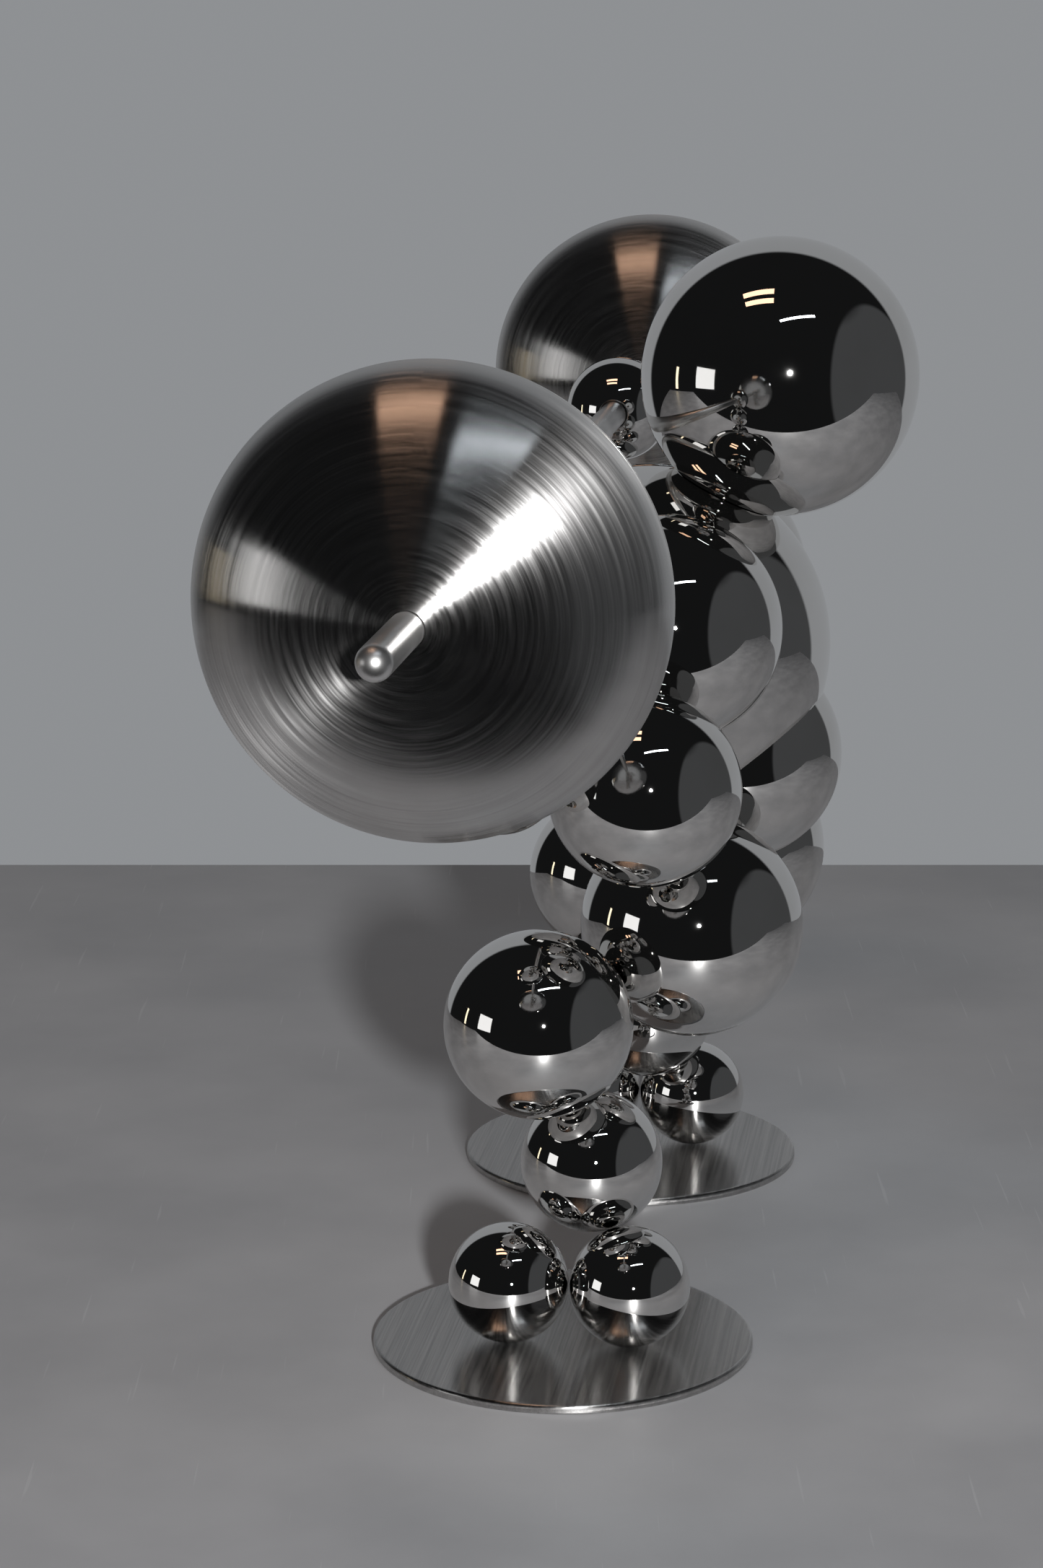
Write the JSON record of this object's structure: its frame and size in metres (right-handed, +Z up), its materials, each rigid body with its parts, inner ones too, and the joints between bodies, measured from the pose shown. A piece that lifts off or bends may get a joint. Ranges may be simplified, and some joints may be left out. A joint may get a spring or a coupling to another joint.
{
  "type": "barbell lifter desk sculpture",
  "caption": "Desk sculpture of a squatting weightlifter made of polished steel balls held by magnets, gripping a bar with round weights at both ends, on round foot plates.",
  "frame": {"origin": "on the table, under the middle of the overall bounding box, which is midway between the two foot plates along the bar", "axes": "+X along the bar to the figure's left, -Y the way the figure faces, +Z up"},
  "size_m": [0.604, 0.1498, 0.289],
  "materials": {
    "mirror_steel": "mirror polished",
    "plate_steel": "brushed in straight lines with a polished edge",
    "weight_steel": "brushed in circles about the bar",
    "bar_steel": "satin turned steel",
    "cast_core": "rough cast, hidden inside the torso",
    "magnet": "nickel plated"
  },
  "bodies": {
    "base": {"left_foot_plate": "plate_steel", "left_toe": "mirror_steel", "left_toe_magnet": "magnet", "left_heel": "mirror_steel", "left_heel_magnet": "magnet", "right_foot_plate": "plate_steel", "right_toe": "mirror_steel", "right_toe_magnet": "magnet", "right_heel": "mirror_steel", "right_heel_magnet": "magnet"},
    "left_lower_leg": {"left_shin": "mirror_steel", "left_shin_magnet": "magnet"},
    "left_knee": {"left_knee": "mirror_steel", "left_knee_magnet": "magnet"},
    "right_lower_leg": {"right_shin": "mirror_steel", "right_shin_magnet": "magnet"},
    "right_knee": {"right_knee": "mirror_steel", "right_knee_magnet": "magnet"},
    "pelvis": {"left_hip": "mirror_steel", "left_hip_magnet": "magnet", "left_hip_magnet_upper": "magnet", "right_hip": "mirror_steel", "right_hip_magnet": "magnet", "right_hip_magnet_upper": "magnet", "waist": "mirror_steel", "waist_magnet": "magnet"},
    "torso": {"torso_shell": "mirror_steel", "torso_core": "cast_core"},
    "head": {"head": "mirror_steel", "head_magnet": "magnet"},
    "left_upper_arm": {"left_shoulder": "mirror_steel", "left_shoulder_magnet": "magnet", "left_elbow": "mirror_steel", "left_elbow_magnet": "magnet"},
    "left_forearm": {"left_wrist": "mirror_steel", "left_wrist_magnet": "magnet", "left_forearm": "mirror_steel", "left_forearm_magnet": "magnet", "left_hand": "mirror_steel", "left_hand_magnet": "magnet"},
    "right_upper_arm": {"right_shoulder": "mirror_steel", "right_shoulder_magnet": "magnet", "right_elbow": "mirror_steel", "right_elbow_magnet": "magnet"},
    "right_forearm": {"right_wrist": "mirror_steel", "right_wrist_magnet": "magnet", "right_forearm": "mirror_steel", "right_forearm_magnet": "magnet", "right_hand": "mirror_steel", "right_hand_magnet": "magnet"},
    "bar": {"bar": "bar_steel"},
    "left_hub": {"left_weight_hub": "bar_steel"},
    "left_weight": {"left_weight_outer": "weight_steel", "left_weight_inner": "weight_steel"},
    "right_hub": {"right_weight_hub": "bar_steel"},
    "right_weight": {"right_weight_outer": "weight_steel", "right_weight_inner": "weight_steel"}
  },
  "joints": [
    {"name": "left_heel_hinge", "type": "hinge", "parent": "base", "child": "left_lower_leg", "pos_m": [0.087, 0.00689, 0.0188], "axis": [1, 0, 0], "range_deg": [-15, 8]},
    {"name": "right_heel_hinge", "type": "hinge", "parent": "base", "child": "right_lower_leg", "pos_m": [-0.087, 0.00689, 0.0188], "axis": [1, 0, 0], "range_deg": [-15, 8]},
    {"name": "left_shin_hinge", "type": "hinge", "parent": "left_lower_leg", "child": "left_knee", "pos_m": [0.07144, -0.00526, 0.04806], "axis": [1, 0, 0], "range_deg": [-15, 15]},
    {"name": "right_shin_hinge", "type": "hinge", "parent": "right_lower_leg", "child": "right_knee", "pos_m": [-0.07144, -0.00526, 0.04806], "axis": [1, 0, 0], "range_deg": [-15, 15]},
    {"name": "knee_hinge", "type": "hinge", "parent": "left_knee", "child": "pelvis", "pos_m": [0.08303, -0.01812, 0.08884], "axis": [1, 0, 0], "range_deg": [-20, 25]},
    {"name": "waist_hinge", "type": "hinge", "parent": "pelvis", "child": "torso", "pos_m": [0, 0.02572, 0.14575], "axis": [1, 0, 0], "range_deg": [-20, 10]},
    {"name": "neck_turn", "type": "hinge", "parent": "torso", "child": "head", "pos_m": [0, 0.03693, 0.25095], "axis": [0, 0.4226, 0.9063], "continuous": true},
    {"name": "left_shoulder_hinge", "type": "hinge", "parent": "torso", "child": "left_upper_arm", "pos_m": [0.04713, 0.01152, 0.1887], "axis": [1, 0, 0], "range_deg": [-12, 3]},
    {"name": "right_shoulder_hinge", "type": "hinge", "parent": "torso", "child": "right_upper_arm", "pos_m": [-0.04713, 0.01152, 0.1887], "axis": [1, 0, 0], "range_deg": [-12, 3]},
    {"name": "left_elbow_hinge", "type": "hinge", "parent": "left_upper_arm", "child": "left_forearm", "pos_m": [0.09138, 0.01036, 0.15473], "axis": [1, 0, 0], "range_deg": [-5, 20]},
    {"name": "right_elbow_hinge", "type": "hinge", "parent": "right_upper_arm", "child": "right_forearm", "pos_m": [-0.09138, 0.01036, 0.15473], "axis": [1, 0, 0], "range_deg": [-5, 20]},
    {"name": "bar_spin", "type": "hinge", "parent": "left_forearm", "child": "bar", "pos_m": [0.12884, -0.02193, 0.22586], "axis": [1, 0, 0], "continuous": true},
    {"name": "left_weight_slide", "type": "slide", "parent": "bar", "child": "left_hub", "axis": [1, 0, 0], "range_m": [-0.04, 0.03]},
    {"name": "left_weight_spin", "type": "hinge", "parent": "left_hub", "child": "left_weight", "pos_m": [0.228, -0.02193, 0.22586], "axis": [1, 0, 0], "continuous": true},
    {"name": "right_weight_slide", "type": "slide", "parent": "bar", "child": "right_hub", "axis": [-1, 0, 0], "range_m": [-0.04, 0.03]},
    {"name": "right_weight_spin", "type": "hinge", "parent": "right_hub", "child": "right_weight", "pos_m": [-0.228, -0.02193, 0.22586], "axis": [1, 0, 0], "continuous": true}
  ],
  "couplings": [
    {"joint": "right_heel_hinge", "follows": "left_heel_hinge", "ratio": 1},
    {"joint": "right_shin_hinge", "follows": "left_shin_hinge", "ratio": 1},
    {"joint": "right_shoulder_hinge", "follows": "left_shoulder_hinge", "ratio": 1},
    {"joint": "right_elbow_hinge", "follows": "left_elbow_hinge", "ratio": 1}
  ]
}
